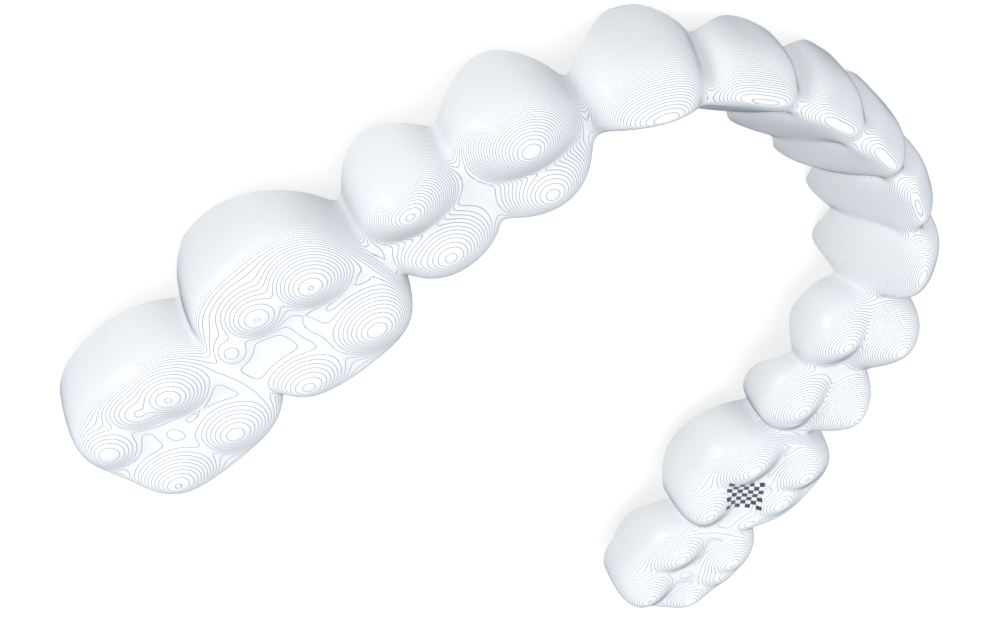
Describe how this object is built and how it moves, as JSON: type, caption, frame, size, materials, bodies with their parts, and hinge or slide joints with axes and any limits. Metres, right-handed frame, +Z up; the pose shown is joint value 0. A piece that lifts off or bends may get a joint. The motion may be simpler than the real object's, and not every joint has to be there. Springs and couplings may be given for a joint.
{
  "type": "clear dental aligner",
  "caption": "Thin clear shell that snaps over the lower teeth: a horseshoe of rounded tooth caps, open underneath, with a scalloped edge.",
  "frame": {"origin": "under the middle of the horseshoe, on the level plane that the trimmed edge rests on", "axes": "+Z up out of the tooth caps, -Y to the front teeth, +X to the wearer's left"},
  "size_m": [0.062, 0.0464, 0.0074],
  "materials": {
    "shell": "glossy, milky clear, with fine level lines"
  },
  "bodies": {
    "root": {"aligner_shell": "shell"}
  },
  "joints": []
}
